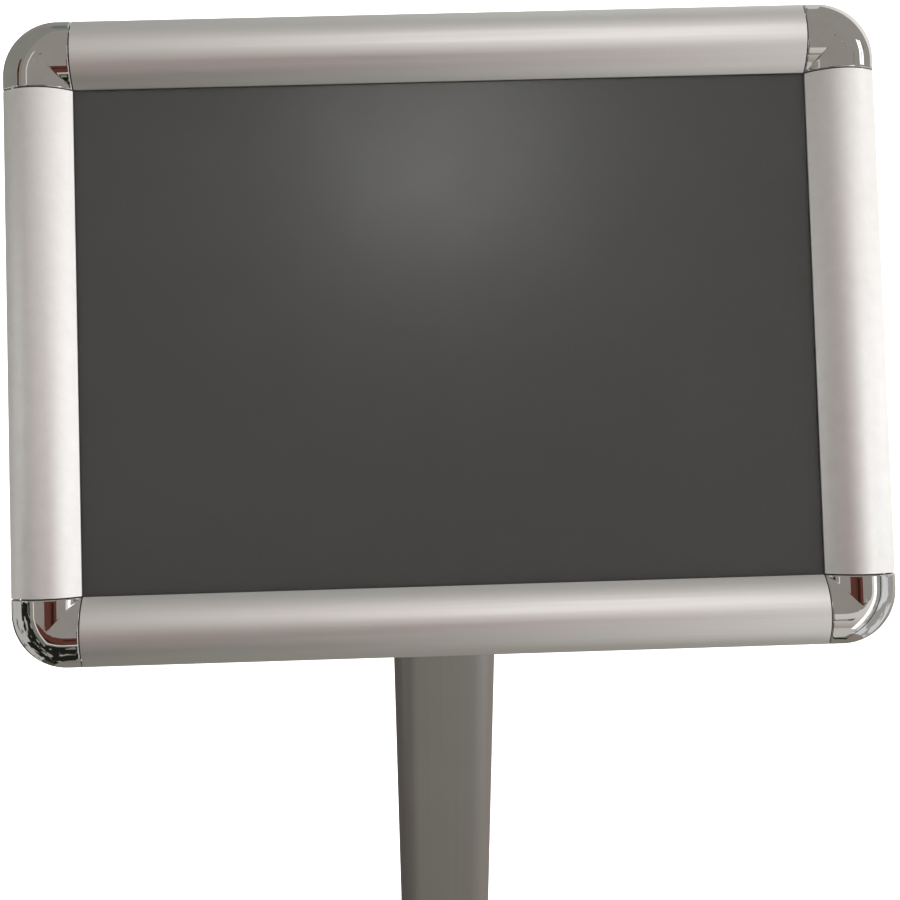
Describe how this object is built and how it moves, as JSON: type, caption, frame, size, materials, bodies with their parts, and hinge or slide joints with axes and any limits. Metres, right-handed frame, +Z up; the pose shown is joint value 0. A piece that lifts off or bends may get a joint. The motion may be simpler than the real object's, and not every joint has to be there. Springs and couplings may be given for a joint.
{
  "type": "sign stand",
  "caption": "Floor-standing sign holder: a snap frame with hinged covers and chrome corners on a tilting, turning head, a flat-oval post and a round base.",
  "frame": {"origin": "on the floor, under the middle of the base and of the post", "axes": "+Z up; the sign faces -Y and leans back towards +Y; +X is to the viewer's right"},
  "size_m": [0.328, 0.32, 1.1734],
  "materials": {
    "satin_aluminium": "satin anodised, fine grain along its length",
    "cast_aluminium": "tumbled die casting",
    "chrome_plate": "bright chrome on moulded plastic",
    "powder_coat": "fine-textured silver-grey powder coat",
    "black_steel": "matt black powder coat",
    "zinc_steel": "bright zinc plate",
    "spring_steel": "blued spring strip",
    "black_nylon": "moulded, fine spark texture",
    "brass": "turned",
    "rubber": "matt",
    "panel_grey": "matt dark grey sheet",
    "matt_clear": "clear anti-glare sheet"
  },
  "bodies": {
    "stand": {"base_plate": "powder_coat", "rubber_foot_1": "rubber", "rubber_foot_2": "rubber", "rubber_foot_3": "rubber", "rubber_foot_4": "rubber", "base_screws": "zinc_steel", "foot_collar": "black_nylon", "post": "satin_aluminium", "post_head": "cast_aluminium", "post_head_screws": "zinc_steel"},
    "head": {"yoke": "black_steel", "tilt_bolt": "zinc_steel", "tilt_washer_left": "black_nylon", "tilt_washer_right": "black_nylon", "knob_washer": "zinc_steel", "swivel_washer": "black_nylon"},
    "knob": {"clamp_knob": "black_nylon", "knob_insert": "brass"},
    "sign_frame": {"back_strap": "black_steel", "strap_screws": "zinc_steel", "strap_nuts": "zinc_steel", "swivel_stud": "zinc_steel", "swivel_spring": "zinc_steel", "swivel_nut": "zinc_steel", "rail_bottom": "satin_aluminium", "rail_right": "satin_aluminium", "rail_top": "satin_aluminium", "rail_left": "satin_aluminium", "spring_bottom_1": "spring_steel", "spring_bottom_2": "spring_steel", "spring_right_1": "spring_steel", "spring_right_2": "spring_steel", "spring_top_1": "spring_steel", "spring_top_2": "spring_steel", "spring_left_1": "spring_steel", "spring_left_2": "spring_steel", "corner_key_bottom_left": "black_nylon", "corner_key_bottom_right": "black_nylon", "corner_key_top_right": "black_nylon", "corner_key_top_left": "black_nylon", "corner_cap_bottom_left": "chrome_plate", "corner_cap_bottom_right": "chrome_plate", "corner_cap_top_right": "chrome_plate", "corner_cap_top_left": "chrome_plate", "key_grub_screws": "zinc_steel", "cap_screws": "zinc_steel", "back_panel": "panel_grey", "clear_sheet": "matt_clear"},
    "bottom_cover": {"cover_bottom": "satin_aluminium"},
    "right_cover": {"cover_right": "satin_aluminium"},
    "top_cover": {"cover_top": "satin_aluminium"},
    "left_cover": {"cover_left": "satin_aluminium"}
  },
  "joints": [
    {"name": "tilt", "type": "hinge", "parent": "stand", "child": "head", "pos_m": [0, 0, 1.05], "axis": [-1, 0, 0], "range_deg": [-30, 50]},
    {"name": "clamp_knob_turn", "type": "hinge", "parent": "head", "child": "knob", "pos_m": [0.027, 0, 1.05], "axis": [1, 0, 0], "range_deg": [0, 180]},
    {"name": "sign_turn", "type": "hinge", "parent": "head", "child": "sign_frame", "pos_m": [0, -0.02165, 1.0625], "axis": [0, -0.866, 0.5], "range_deg": [0, 90]},
    {"name": "cover_bottom_open", "type": "hinge", "parent": "sign_frame", "child": "bottom_cover", "pos_m": [0, -0.0906, 0.96548], "axis": [1, 0, 0], "range_deg": [0, 90]},
    {"name": "cover_right_open", "type": "hinge", "parent": "sign_frame", "child": "right_cover", "pos_m": [0.162, -0.03135, 1.0681], "axis": [0, 0.5, 0.866], "range_deg": [0, 90]},
    {"name": "cover_top_open", "type": "hinge", "parent": "sign_frame", "child": "top_cover", "pos_m": [0, 0.0279, 1.17072], "axis": [-1, 0, 0], "range_deg": [0, 90]},
    {"name": "cover_left_open", "type": "hinge", "parent": "sign_frame", "child": "left_cover", "pos_m": [-0.162, -0.03135, 1.0681], "axis": [0, -0.5, -0.866], "range_deg": [0, 90]}
  ]
}
